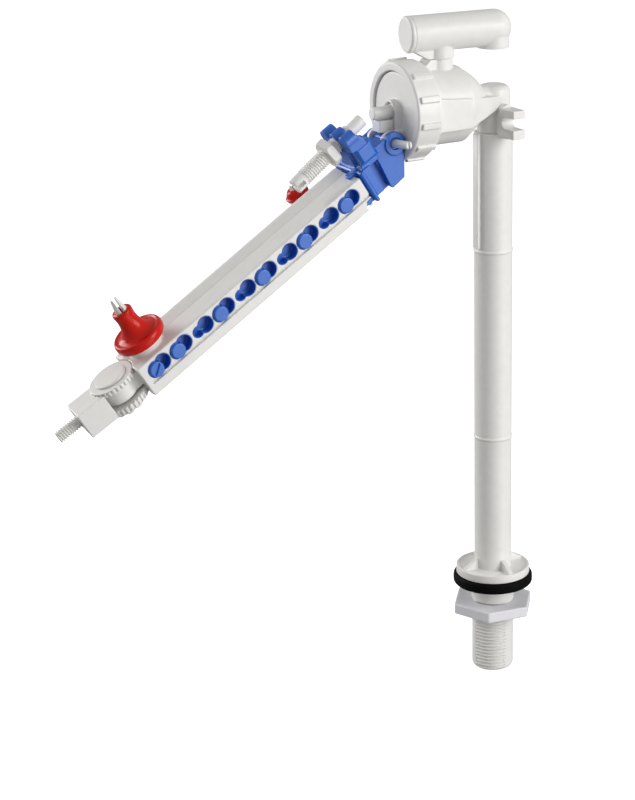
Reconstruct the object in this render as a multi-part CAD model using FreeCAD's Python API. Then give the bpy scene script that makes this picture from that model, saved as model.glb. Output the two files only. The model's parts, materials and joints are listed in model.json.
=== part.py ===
import FreeCAD, Part
import math
import os

# Bottom-entry fill valve for a toilet cistern, in millimetres.
# Frame: +Z runs up the riser. The origin is on the riser's axis, in the seat plane
# where the rubber washer rests on the cistern floor. The float arm reaches towards -X
# and the keyholes in the arm face -Y.
V = FreeCAD.Vector
X_AXIS = V(1, 0, 0)
Y_AXIS = V(0, 1, 0)
Z_AXIS = V(0, 0, 1)

# ------------------------------------------------------------------ driving dimensions
RUN = 0.05                    # radial clearance of a running fit

# riser, tail and what clamps them to the cistern
THREAD_R = 10.48              # G1/2 parallel thread, radius over the crests
RELIEF_R = 9.6                # groove between the backnut's and the connector's thread
RELIEF_TOP = -16.0
RELIEF_BOTTOM = -17.0
COLLAR_R = 10.7               # plain collar that fills the hole in the cistern floor
COLLAR_BOTTOM = -9.2
TAIL_END = -46.2
RISER_R = 9.3
RISER_BORE_R = 6.8
RISER_TOP = 231.8
BEAD_HEIGHTS = (78.3, 173.6)
WASHER_R = 19.95
WASHER_T = 5.3
FLANGE_R = 18.45
FLANGE_TOP = 9.4
GUSSET_H = 4.7
GUSSET_T = 2.4
KEY_RIB_BOTTOM = 175.5
BACKNUT_FLATS = 37.0
BACKNUT_TOP = -9.45
BACKNUT_BOTTOM = -15.05
BACKNUT_TURN = 231.7          # direction of one corner, in degrees from +X

# head: everything on the horizontal axis above the riser
HEAD_Z = 247.35
WATER_R = 4.2                 # inlet passage
LEG_R = 7.9
SPIGOT_R = 6.75
SPIGOT_BOTTOM = 219.0
INLET_R = 7.15
BARREL_R = 18.1
BODY_FACE_X = -44.2           # face that the diaphragm is clamped against
BODY_FLANGE_R = 21.5
CHAMBER_R = 15.6
BOSS_R = 7.6
BOSS_X = -38.0
SEAT_BORE_R = 5.0
NUT_FRONT_X = -55.0
NUT_BACK_X = -43.3
NUT_R = 23.0
NUT_OPENING_R = 18.8
NUT_RIBS = 12
NUT_RIB_W = 2.8
NUT_RIB_START = 20.0          # degrees from -Y towards +Z
NUT_GAP = 2                   # position that has no rib
COVER_FRONT_X = -54.0
COVER_R = 21.4
DIAPHRAGM_T = 2.0
PLUNGER_R = 3.0
PLUNGER_TIP_X = -66.7

# outlet on top of the barrel
NECK_X = -29.6
NECK_R = 5.9
NECK_TOP = 269.7
NECK_SPIGOT_R = 4.9
NECK_SPIGOT_TOP = 276.2
OUTLET_TURN = -7.0            # degrees about Z from +X
OUTLET_R = 8.6
OUTLET_Z = 281.65
OUTLET_CAP_END = -17.6        # along the outlet, from the neck's axis
SPOUT_REACH = 27.3
SPOUT_R = 7.7
SPOUT_BORE_R = 5.8
SPOUT_BOTTOM = 272.3

# hose clip on the leg
CLIP_Z = 237.9
CLIP_H = 13.6
CLIP_W = 6.6
CLIP_FACE_Y = -11.7
CLIP_TIP_Y = -22.3
CLIP_GAP_R = 2.7
CLIP_GAP_Z = 238.2

# lever pivot and arm frame: x along the arm, y towards the keyhole side, z out of the top face
PIVOT = V(-60.5, 0, 234.65)
ARM_DROP = 32.15              # degrees below horizontal at rest
PIN_R = 1.85
PIN_TIP_Y = -23.4
PIN_SPRING = 1.3              # how far the split end is bent upwards
EAR_IN = 4.9
EAR_OUT = 7.2
EAR_R = 5.0
PLATE_IN = 7.6
PLATE_OUT = 10.4
FAR_PLATE_OUT = 9.8
BOSS_PROUD = 0.9
BRACKET_HALF = 12.4

# adjusting screw, in the arm frame
SCREW_R = 4.0                 # M8 crests
SCREW_TILT = 4.9              # degrees, rising towards the head
SCREW_MARK = V(30.0, 0, 12.9)  # a point on the screw's axis
ROD_R = 3.1
ROD_TIP = 4.0                 # distances along the arm frame's x
ROD_ROOT = 11.6
SCREW_END = 48.6
LOCK_NUT_FLATS = 13.0
LOCK_NUT_NEAR = 24.0
LOCK_NUT_FAR = 28.0

# sleeve and the insert bar inside it, in the arm frame
SLEEVE_START = 24.2
SLEEVE_END = 160.0
SLEEVE_HALF = 12.5
SLEEVE_TOP = -0.6
SLEEVE_BOTTOM = -16.7
SLEEVE_WALL = 0.9
RIDGE_FOOT = -1.5             # low ridge along the far half of the top face
RIDGE_CREST = -8.0
RIDGE_H = 1.6
GROOVE_N = -10.8
GROOVE_W = 1.3
GROOVE_END = 157.6
HOLE_COUNT = 10
HOLE_FIRST = 32.3
HOLE_PITCH = 12.89
HOLE_N = -5.7
LOBE_R = 3.75
SMALL_LOBE_R = 2.5
SMALL_LOBE_SHIFT = V(4.7, 0, -0.5)
STUD_R = 3.6
STUD_SHIFT = V(4.25, 0, -0.75)
STUD_OUT = 13.7
RIM_T = 0.35                  # blue rim that lines each hole
POCKET_DEPTH = 4.8
BAR_FACE = 10.8
BAR_END = 154.5
BAR_BOTTOM = -10.1

# lock pegs and their red bells, in the arm frame
PEG_R = 3.0
LOWER_PEG = V(147.6, 0, 0)
UPPER_PEG = V(43.6, -19.1, -2.0)

# knuckle and float block
KNUCKLE_A = 169.5
KNUCKLE_TURN = -5.0           # swivel of the block at rest, degrees about the knuckle axis
DISC_R = 11.2
TEETH = 30
HUB_R = 8.0
UPPER_DISC = (-3.6, -0.9)
HUB_SPAN = (-11.3, -3.85)
LOWER_DISC = (-15.7, -12.4)
KNUCKLE_CAP_R = 7.9
LOBES = 10
LOBE_TURN = 69.0              # degrees about the knuckle axis, from the arm's x
BOLT_R = 2.6
BLOCK_START = 8.0
BLOCK_END = 22.9
BLOCK_HALF = 7.85
BLOCK_SPAN = (-15.5, -2.3)
STUD_N = -8.3
FLOAT_STUD_R = 3.05
FLOAT_STUD_END = 35.0


# ------------------------------------------------------------------ helpers
def rod(radius, start, end):
    span = end - start
    return Part.makeCylinder(radius, span.Length, start, span)


def x_rod(radius, x0, x1, z=HEAD_Z, y=0):
    return rod(radius, V(x0, y, z), V(x1, y, z))


def z_rod(radius, z0, z1, x=0, y=0):
    return rod(radius, V(x, y, z0), V(x, y, z1))


def box(x0, x1, y0, y1, z0, z1):
    return Part.makeBox(x1 - x0, y1 - y0, z1 - z0, V(x0, y0, z0))


def turned(profile):
    """Solid of revolution about Z from (radius, height) points."""
    wire = Part.makePolygon([V(r, 0, h) for r, h in profile + profile[:1]])
    return Part.Face(wire).revolve(V(0, 0, 0), Z_AXIS, 360)


def turned_x(profile, z=HEAD_Z):
    """Solid of revolution about the head's axis from (x, radius) points."""
    wire = Part.makePolygon([V(x, 0, z + r) for x, r in profile + profile[:1]])
    return Part.Face(wire).revolve(V(0, 0, z), X_AXIS, 360)


def slab(points, y0, y1):
    """Plate in the XZ plane from (x, z) points, from y0 to y1."""
    wire = Part.makePolygon([V(x, y0, z) for x, z in points + points[:1]])
    return Part.Face(wire).extrude(V(0, y1 - y0, 0))


def plan(points, z0, z1):
    """Plate in the XY plane from (x, y) points, from z0 to z1."""
    wire = Part.makePolygon([V(x, y, z0) for x, y in points + points[:1]])
    return Part.Face(wire).extrude(V(0, 0, z1 - z0))


def hexagon(flats, z0, z1, turn=0.0):
    corner = flats / math.sqrt(3)
    angles = [math.radians(turn + 60 * k) for k in range(6)]
    return plan([(corner * math.cos(a), corner * math.sin(a)) for a in angles], z0, z1)


def join(shapes):
    return shapes[0].multiFuse(shapes[1:]).removeSplitter()


def placed(shape, origin, x_dir, z_dir):
    """Moves a shape from the local axes to an origin with the given x and z directions."""
    y_dir = z_dir.cross(x_dir)
    matrix = FreeCAD.Matrix(
        x_dir.x, y_dir.x, z_dir.x, origin.x,
        x_dir.y, y_dir.y, z_dir.y, origin.y,
        x_dir.z, y_dir.z, z_dir.z, origin.z,
        0, 0, 0, 1)
    return shape.transformed(matrix)


DROP = math.radians(ARM_DROP)
ARM_X = V(-math.cos(DROP), 0, -math.sin(DROP))
ARM_Z = V(-math.sin(DROP), 0, math.cos(DROP))


def in_arm(shape):
    return placed(shape, PIVOT, ARM_X, ARM_Z)


def in_knuckle(shape):
    """From the knuckle's local axes, x along the float block, to the world."""
    turned_block = shape.rotated(V(0, 0, 0), Z_AXIS, KNUCKLE_TURN)
    turned_block.translate(V(KNUCKLE_A, 0, 0))
    return in_arm(turned_block)


TILT = math.radians(SCREW_TILT)
SCREW_DIR = V(math.cos(TILT), 0, -math.sin(TILT))   # away from the head


def on_screw(distance):
    """Point on the screw's axis at a distance along the arm frame's x."""
    step = (distance - SCREW_MARK.x) / SCREW_DIR.x
    return SCREW_MARK + SCREW_DIR * step


# ------------------------------------------------------------------ riser and its fixings
def riser_tube():
    outline = [(0, TAIL_END), (THREAD_R - 1.8, TAIL_END), (THREAD_R - 0.5, TAIL_END + 0.8),
               (THREAD_R, TAIL_END + 2.2),
               (THREAD_R, RELIEF_BOTTOM), (RELIEF_R, RELIEF_BOTTOM), (RELIEF_R, RELIEF_TOP),
               (THREAD_R, RELIEF_TOP), (THREAD_R, COLLAR_BOTTOM),
               (COLLAR_R, COLLAR_BOTTOM), (COLLAR_R, WASHER_T),
               (FLANGE_R - 0.4, WASHER_T), (FLANGE_R, WASHER_T + 0.4),
               (FLANGE_R, FLANGE_TOP - 0.5), (FLANGE_R - 0.4, FLANGE_TOP),
               (FLANGE_R - 1.3, FLANGE_TOP), (FLANGE_R - 1.8, FLANGE_TOP - 0.5),
               (RISER_R + 0.6, FLANGE_TOP - 0.5), (RISER_R, FLANGE_TOP + 0.2)]
    for height in BEAD_HEIGHTS:
        outline += [(RISER_R, height - 0.8), (RISER_R + 0.4, height - 0.3),
                    (RISER_R + 0.4, height + 0.3), (RISER_R, height + 0.8)]
    outline += [(RISER_R, RISER_TOP - 0.4), (RISER_R - 0.4, RISER_TOP), (0, RISER_TOP)]
    parts = [turned(outline)]
    for k in range(4):
        gusset = slab([(RISER_BORE_R + 1, FLANGE_TOP - 1), (FLANGE_R - 1.2, FLANGE_TOP - 1),
                       (FLANGE_R - 1.2, FLANGE_TOP + 0.5), (RISER_R, FLANGE_TOP + GUSSET_H),
                       (RISER_BORE_R + 1, FLANGE_TOP + GUSSET_H)],
                      -GUSSET_T / 2, GUSSET_T / 2)
        parts.append(gusset.rotated(V(0, 0, 0), Z_AXIS, 90 * k))
    parts.append(box(-RISER_R - 1.3, -RISER_R + 1, -2.5, 2.0, KEY_RIB_BOTTOM, RISER_TOP - 0.4))
    return join(parts).cut(z_rod(RISER_BORE_R, TAIL_END - 1, RISER_TOP + 1))


def cistern_washer():
    return turned([(COLLAR_R, 0), (WASHER_R - 0.5, 0), (WASHER_R, 0.6),
                   (WASHER_R, WASHER_T - 1.2), (WASHER_R - 0.7, WASHER_T), (COLLAR_R, WASHER_T)])


def backnut():
    nut = hexagon(BACKNUT_FLATS, BACKNUT_BOTTOM, BACKNUT_TOP, BACKNUT_TURN)
    nut = nut.makeFillet(1.6, [e for e in nut.Edges if e.BoundBox.ZLength > 1])
    rims = [e for e in nut.Edges if e.BoundBox.ZLength < 0.01]
    nut = nut.makeFillet(0.7, rims)
    return nut.cut(z_rod(THREAD_R + RUN, BACKNUT_BOTTOM - 1, BACKNUT_TOP + 1))


def inlet_filter():
    top = -22.0
    rim = z_rod(RISER_BORE_R, TAIL_END + 0.5, TAIL_END + 2.5)
    rim = rim.cut(z_rod(5.2, TAIL_END, TAIL_END + 3))
    parts = [rim, z_rod(6.25, top - 1.5, top)]
    for k in range(12):
        bar = box(5.35, 6.1, -0.6, 0.6, TAIL_END + 2.2, top - 1.2)
        parts.append(bar.rotated(V(0, 0, 0), Z_AXIS, 30 * k))
    for height in (-38.0, -32.0, -26.0):
        hoop = z_rod(6.2, height, height + 0.8)
        parts.append(hoop.cut(z_rod(5.25, height - 1, height + 2)))
    return join(parts)


def flow_restrictor():
    return turned([(2.0, -19.0), (RISER_BORE_R, -19.0), (RISER_BORE_R, -14.5),
                   (5.2, -14.5), (2.0, -17.0)])


# ------------------------------------------------------------------ valve body
def fairing():
    """Tapering web that widens the inlet tube to the sides of the barrel."""
    sections = []
    for x, half, low, high in ((-41.5, 18.5, -9.0, 6.6), (-24.0, 18.3, -9.0, 5.1),
                               (-0.6, 7.75, -3.0, 2.2)):
        corners = [V(x, -half, HEAD_Z + low), V(x, half, HEAD_Z + low),
                   V(x, half, HEAD_Z + high), V(x, -half, HEAD_Z + high)]
        sections.append(Part.makePolygon(corners + corners[:1]))
    return Part.makeLoft(sections, True, True)


def valve_body():
    barrel = turned_x([(BODY_FACE_X, 0), (BODY_FACE_X, BODY_FLANGE_R - 0.3),
                       (-43.9, BODY_FLANGE_R), (NUT_BACK_X, BODY_FLANGE_R),
                       (NUT_BACK_X, 20.6), (-42.8, 20.6), (-42.8, BODY_FLANGE_R + 0.2),
                       (-41.4, BODY_FLANGE_R + 0.2), (-41.1, BODY_FLANGE_R - 0.2),
                       (-41.1, BARREL_R + 0.5), (-40.6, BARREL_R), (-21.2, BARREL_R),
                       (-20.4, 17.3), (-19.4, 16.6),
                       (-17.6, 15.7), (-15.2, 13.9), (-12.3, 11.6), (-9.8, 8.9),
                       (-8.6, 7.5), (-8.6, 0)])
    leg = z_rod(LEG_R, RISER_TOP, HEAD_Z + 6.9)
    leg = leg.makeFillet(3.6, [e for e in leg.Edges if e.BoundBox.ZMin > HEAD_Z])
    neck_web = slab([(-41.3, 262.0), (-41.3, 265.9), (NECK_X - 7.5, NECK_TOP), (NECK_X, NECK_TOP),
                     (NECK_X, 262.0)], -4.2, 4.2)
    outside = join([
        barrel,
        fairing(),
        neck_web,
        x_rod(INLET_R, -20, 0),
        leg,
        z_rod(SPIGOT_R, SPIGOT_BOTTOM, RISER_TOP + 1),
        z_rod(NECK_R, HEAD_Z + 14, NECK_TOP, NECK_X),
        z_rod(NECK_SPIGOT_R, NECK_TOP - 1, NECK_SPIGOT_TOP, NECK_X)])
    chamber = x_rod(CHAMBER_R, BODY_FACE_X - 1, -27.5).cut(x_rod(BOSS_R, BODY_FACE_X - 2, -27))
    boss_end = x_rod(BOSS_R + 0.5, BODY_FACE_X - 1, BOSS_X)
    ring_groove = z_rod(SPIGOT_R + 1, 222.0, 224.4).cut(z_rod(5.2, 221, 225))
    neck_groove = z_rod(NECK_SPIGOT_R + 1, 272.6, 274.2, NECK_X)
    neck_groove = neck_groove.cut(z_rod(3.9, 271, 275, NECK_X))
    cuts = [chamber, boss_end, ring_groove, neck_groove,
            z_rod(WATER_R, SPIGOT_BOTTOM - 1, HEAD_Z),
            x_rod(WATER_R, -32, 0),
            x_rod(SEAT_BORE_R, BODY_FACE_X, -31.0),
            z_rod(2.9, HEAD_Z + 10, NECK_SPIGOT_TOP + 1, NECK_X)]
    for shape in cuts:
        outside = outside.cut(shape)
    return outside


def riser_o_ring():
    return z_rod(RISER_BORE_R, 222.2, 224.2).cut(z_rod(5.2, 221, 225))


def outlet_o_ring():
    return z_rod(NECK_SPIGOT_R - 0.05, 272.7, 274.1, NECK_X).cut(z_rod(3.9, 271, 275, NECK_X))


def seat_nozzle():
    return turned_x([(-42.6, 2.4), (-42.6, 3.3), (-41.0, 4.4), (-39.6, 4.4), (-39.6, 6.2),
                     (BOSS_X, 6.2), (BOSS_X, SEAT_BORE_R), (-31.0, SEAT_BORE_R), (-31.0, 2.4)])


def diaphragm():
    front = BODY_FACE_X - DIAPHRAGM_T
    return turned_x([(front, 0), (front, 6.0), (front + 0.6, 7.5), (front + 0.6, 14.0),
                     (front, 15.5), (front, COVER_R - 0.3), (BODY_FACE_X, COVER_R - 0.3),
                     (BODY_FACE_X, 15.5), (BODY_FACE_X - 0.4, 14.0), (BODY_FACE_X - 0.4, 7.5),
                     (BODY_FACE_X + 0.4, 6.0), (BODY_FACE_X + 0.4, 0)])


def front_cover():
    """Plug that holds the diaphragm, guides the plunger and carries the pivot ears."""
    back = BODY_FACE_X - DIAPHRAGM_T
    shell = turned_x([(back, 0), (back, COVER_R), (-52.8, COVER_R), (-52.8, 18.3),
                      (COVER_FRONT_X + 0.4, 18.3), (COVER_FRONT_X, 17.9), (COVER_FRONT_X, 0)])
    arch_front = -57.4
    arch = join([x_rod(5.6, arch_front, COVER_FRONT_X + 0.5),
                 box(arch_front, COVER_FRONT_X + 0.5, -5.6, 5.6, HEAD_Z - 12.5, HEAD_Z)])
    arch = arch.cut(x_rod(4.5, arch_front - 1, arch_front + 2.2))
    arch = arch.cut(box(arch_front - 1, arch_front + 2.2, -4.5, 4.5, HEAD_Z - 10.5, HEAD_Z))
    parts = [shell, arch, x_rod(3.7, -56.4, COVER_FRONT_X + 0.5),
             box(-64.4, COVER_FRONT_X + 0.5, -3.6, 3.6, HEAD_Z - 8.7, HEAD_Z - 3.2)]
    for side in (-1, 1):
        y0, y1 = sorted((side * EAR_IN, side * EAR_OUT))
        ear = rod(EAR_R, V(PIVOT.x, y0, PIVOT.z), V(PIVOT.x, y1, PIVOT.z))
        strap = box(PIVOT.x, COVER_FRONT_X + 0.5, y0, y1, PIVOT.z - EAR_R, PIVOT.z + EAR_R)
        parts += [ear, strap]
    shape = join(parts)
    nut_lip = x_rod(30, NUT_FRONT_X - 0.5, -52.8).cut(x_rod(18.3, -60, -50))
    shape = shape.cut(nut_lip)
    shape = shape.cut(x_rod(16.0, -50.8, back + 1))
    shape = shape.cut(x_rod(PLUNGER_R + RUN, -70, -50))
    clear_web = rod(3.7, V(PIVOT.x, -EAR_IN, PIVOT.z), V(PIVOT.x, EAR_IN, PIVOT.z))
    shape = shape.cut(clear_web)
    return shape.cut(rod(PIN_R, V(PIVOT.x, -9, PIVOT.z), V(PIVOT.x, 9, PIVOT.z)))


def union_nut():
    ring = turned_x([(NUT_FRONT_X, NUT_OPENING_R), (NUT_FRONT_X, NUT_R - 0.7),
                     (NUT_FRONT_X + 0.7, NUT_R), (NUT_BACK_X, NUT_R),
                     (NUT_BACK_X, BODY_FLANGE_R + RUN), (NUT_FRONT_X + 2, BODY_FLANGE_R + RUN),
                     (NUT_FRONT_X + 2, NUT_OPENING_R)])
    parts = [ring]
    for k in (k for k in range(NUT_RIBS) if k != NUT_GAP):
        rib = box(NUT_FRONT_X + 1.9, NUT_BACK_X, -NUT_R - 1.2, -NUT_R + 0.5,
                  HEAD_Z - NUT_RIB_W / 2, HEAD_Z + NUT_RIB_W / 2)
        turn = NUT_RIB_START + 360.0 * k / NUT_RIBS
        parts.append(rib.rotated(V(0, 0, HEAD_Z), X_AXIS, -turn))
    return join(parts)


def plunger():
    head_back = -48.7
    stem = x_rod(PLUNGER_R, PLUNGER_TIP_X, head_back - 0.5)
    tip = [e for e in stem.Edges if e.BoundBox.XMax < PLUNGER_TIP_X + 0.01]
    return join([stem.makeChamfer(0.4, tip), x_rod(8.0, head_back - 1.5, head_back)])


def pivot_pin():
    """Split pin: the exposed end is slit so that it springs through the lever."""
    shank = rod(PIN_R, V(PIVOT.x, -PLATE_OUT, PIVOT.z), V(PIVOT.x, 10.2, PIVOT.z))
    bend = V(PIVOT.x, -PLATE_OUT + 0.4, PIVOT.z)
    leg = rod(PIN_R, bend, V(PIVOT.x, PIN_TIP_Y, PIVOT.z + PIN_SPRING))
    tip = [e for e in leg.Edges if e.BoundBox.YMax < PIN_TIP_Y + 0.3]
    head = rod(3.1, V(PIVOT.x, 10.1, PIVOT.z), V(PIVOT.x, 11.5, PIVOT.z))
    slit = box(PIVOT.x - 0.4, PIVOT.x + 0.4, PIN_TIP_Y - 1, -14.0, PIVOT.z - 3, PIVOT.z + 4)
    return join([shank, leg.makeChamfer(0.5, tip), head]).cut(slit)


def hose_clip():
    """Two prongs that hold a refill hose, on a web that grips the leg."""
    low = CLIP_Z - CLIP_H / 2
    high = CLIP_Z + CLIP_H / 2
    half = CLIP_W / 2
    prongs = box(-half, half, CLIP_TIP_Y, CLIP_FACE_Y, low, high)
    web = slab([(-half, low), (0, low - 1.6), (half, low), (half, high), (0, high + 1.6),
                (-half, high)], CLIP_FACE_Y - 0.5, 0)
    root_y = CLIP_FACE_Y - 0.4
    gap = box(-half - 1, half + 1, CLIP_TIP_Y - 1, root_y - CLIP_GAP_R,
              CLIP_GAP_Z - CLIP_GAP_R, CLIP_GAP_Z + CLIP_GAP_R)
    root = rod(CLIP_GAP_R, V(-half - 1, root_y - CLIP_GAP_R, CLIP_GAP_Z),
               V(half + 1, root_y - CLIP_GAP_R, CLIP_GAP_Z))
    riser_end = z_rod(RISER_R, low - 5, RISER_TOP)
    shape = join([prongs, web])
    for tool in (gap, root, z_rod(LEG_R, low - 5, high + 5), riser_end, fairing()):
        shape = shape.cut(tool)
    return shape


# ------------------------------------------------------------------ outlet
def in_outlet(shape):
    turned_shape = shape.rotated(V(0, 0, 0), Z_AXIS, OUTLET_TURN)
    turned_shape.translate(V(NECK_X, 0, 0))
    return turned_shape


def outlet_arm():
    socket_r = 6.5
    gusset = slab([(-15.0, OUTLET_Z - 7.6), (-7.5, NECK_TOP + 0.05), (0, NECK_TOP + 0.05),
                   (0, OUTLET_Z)], -4.2, 4.2)
    outside = join([x_rod(OUTLET_R, OUTLET_CAP_END + 2.2, SPOUT_REACH, OUTLET_Z),
                    Part.makeSphere(OUTLET_R, V(SPOUT_REACH, 0, OUTLET_Z)),
                    z_rod(SPOUT_R, SPOUT_BOTTOM, OUTLET_Z, SPOUT_REACH),
                    z_rod(socket_r, NECK_TOP + 0.05, OUTLET_Z),
                    gusset])
    cuts = [x_rod(6.6, OUTLET_CAP_END, SPOUT_REACH - 1.5, OUTLET_Z),
            z_rod(SPOUT_BORE_R, SPOUT_BOTTOM - 1, OUTLET_Z, SPOUT_REACH),
            z_rod(NECK_SPIGOT_R + RUN, NECK_TOP - 1, NECK_SPIGOT_TOP + 0.3)]
    for shape in cuts:
        outside = outside.cut(shape)
    return in_outlet(outside)


def outlet_end_cap():
    disc = x_rod(OUTLET_R + 0.05, OUTLET_CAP_END, OUTLET_CAP_END + 2.2, OUTLET_Z)
    rim = [e for e in disc.Edges if e.BoundBox.XMax < OUTLET_CAP_END + 0.01]
    plug = x_rod(6.6, OUTLET_CAP_END + 2.0, OUTLET_CAP_END + 6.0, OUTLET_Z)
    return in_outlet(join([disc.makeFillet(1.3, rim), plug]))


# ------------------------------------------------------------------ lever
def lever_bracket():
    """Lever: two cheeks on the pivot, a beam above, a foot below and the screw's crossbar."""
    cheek = [(-1.9, -6.6), (4.4, -16.6), (12.0, -17.0), (12.5, -15.7), (11.4, -3.0),
             (11.4, 5.0), (7.5, 5.0), (3.2, 5.0)]
    far_cheek = [(0, -4.2)] + cheek[1:6] + [(7.5, 4.0), (1.5, 3.9)]
    parts = [slab(cheek, PLATE_IN, PLATE_OUT),
             rod(5.4, V(0, PLATE_IN, 0), V(0, PLATE_OUT + BOSS_PROUD, 0)),
             slab(far_cheek, -FAR_PLATE_OUT, -PLATE_IN),
             rod(4.2, V(0, -PLATE_IN, 0), V(0, -FAR_PLATE_OUT, 0))]
    beam = box(9.6, 19.4, -BRACKET_HALF, BRACKET_HALF, 2.2, 11.4)
    rims = [e for e in beam.Edges if abs(abs(e.CenterOfMass.y) - BRACKET_HALF) < 0.01]
    parts.append(beam.makeChamfer(1.4, rims))
    parts.append(box(10.6, 20.4, -BRACKET_HALF + 1.0, BRACKET_HALF - 1.0, 0.1, 2.6))
    parts.append(box(16.6, 21.8, -BRACKET_HALF + 0.2, BRACKET_HALF - 0.2, -13.9, 1.0))
    foot = box(21.0, 23.0, -12.9, 12.9, -16.0, 1.0)
    lip = [e for e in foot.Edges if e.BoundBox.XMin > 22.9]
    parts.append(foot.makeChamfer(0.7, lip))
    parts.append(box(2.0, 16.0, -4.4, 4.4, -3.0, 2.8))
    parts.append(rod(3.3, V(0, -4.4, 0), V(0, 4.4, 0)))
    crossbar = [(12.0, 11.0), (12.0, 13.4), (14.3, 16.3), (20.8, 16.3), (20.8, 11.0)]
    parts.append(slab(crossbar, -12.0, 12.0))
    for offset in (-8.6, 0, 8.6):
        bump = rod(3.7, V(14.6, offset, 15.9), V(20.8, offset, 15.9))
        parts.append(bump)
    parts.append(box(20.4, 27.2, 4.4, 7.8, -0.5, 1.4))
    parts.append(box(19.4, 21.0, -6.0, 6.0, 1.0, 11.4))
    parts.append(box(11.2, 18.0, -8.0, 6.6, -16.6, 1.0))
    parts.append(box(22.5, 30.5, 8.4, 10.5, -15.4, -12.3))
    shape = join(parts)
    shape = shape.cut(rod(SCREW_R + RUN, on_screw(8.0), on_screw(24.0)))
    recess = rod(2.9, V(0, PLATE_OUT + 2, 0), V(0, PLATE_OUT - 0.6, 0))
    return in_arm(shape.cut(recess).cut(rod(PIN_R + RUN, V(0, -15, 0), V(0, 15, 0))))


def adjusting_screw():
    shank = rod(SCREW_R, on_screw(ROD_ROOT), on_screw(SCREW_END))
    nose = rod(ROD_R, on_screw(ROD_TIP), on_screw(ROD_ROOT + 1))
    slot = box(SCREW_END - 4.6, SCREW_END + 5, -1.1, 1.1, 0, 25)
    return in_arm(join([shank, nose]).cut(slot))


def lock_nut():
    length = (LOCK_NUT_FAR - LOCK_NUT_NEAR) / SCREW_DIR.x
    corner = LOCK_NUT_FLATS / math.sqrt(3)
    blank = hexagon(LOCK_NUT_FLATS, 0, length, 10.0)
    bevel = turned([(0, 0), (corner - 0.8, 0), (corner, 0.6), (corner, length - 0.6),
                    (corner - 0.8, length), (0, length)])
    nut = blank.common(bevel).cut(z_rod(SCREW_R + RUN, -1, length + 1))
    return in_arm(placed(nut, on_screw(LOCK_NUT_NEAR), V(SCREW_DIR.z, 0, -SCREW_DIR.x) * -1,
                         SCREW_DIR))


def hole_positions():
    """Centre of each hole's large lobe, and whether a stud fills the rest of it."""
    centres = []
    for k in range(HOLE_COUNT):
        studded = k % 2 == 0 or k == HOLE_COUNT - 1
        centres.append((V(HOLE_FIRST + HOLE_PITCH * k, 0, HOLE_N), studded))
    return centres


def keyhole(centre, studded, y0, y1, grow=0.0):
    """Tool for one hole: a large lobe and, beside it, a small lobe or a stud's seat."""
    shift = STUD_SHIFT if studded else SMALL_LOBE_SHIFT
    radius = STUD_R + 0.25 if studded else SMALL_LOBE_R
    lobe = rod(LOBE_R + grow, centre + V(0, y0, 0), centre + V(0, y1, 0))
    other = centre + shift
    return lobe.fuse(rod(radius + grow, other + V(0, y0, 0), other + V(0, y1, 0)))


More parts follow.
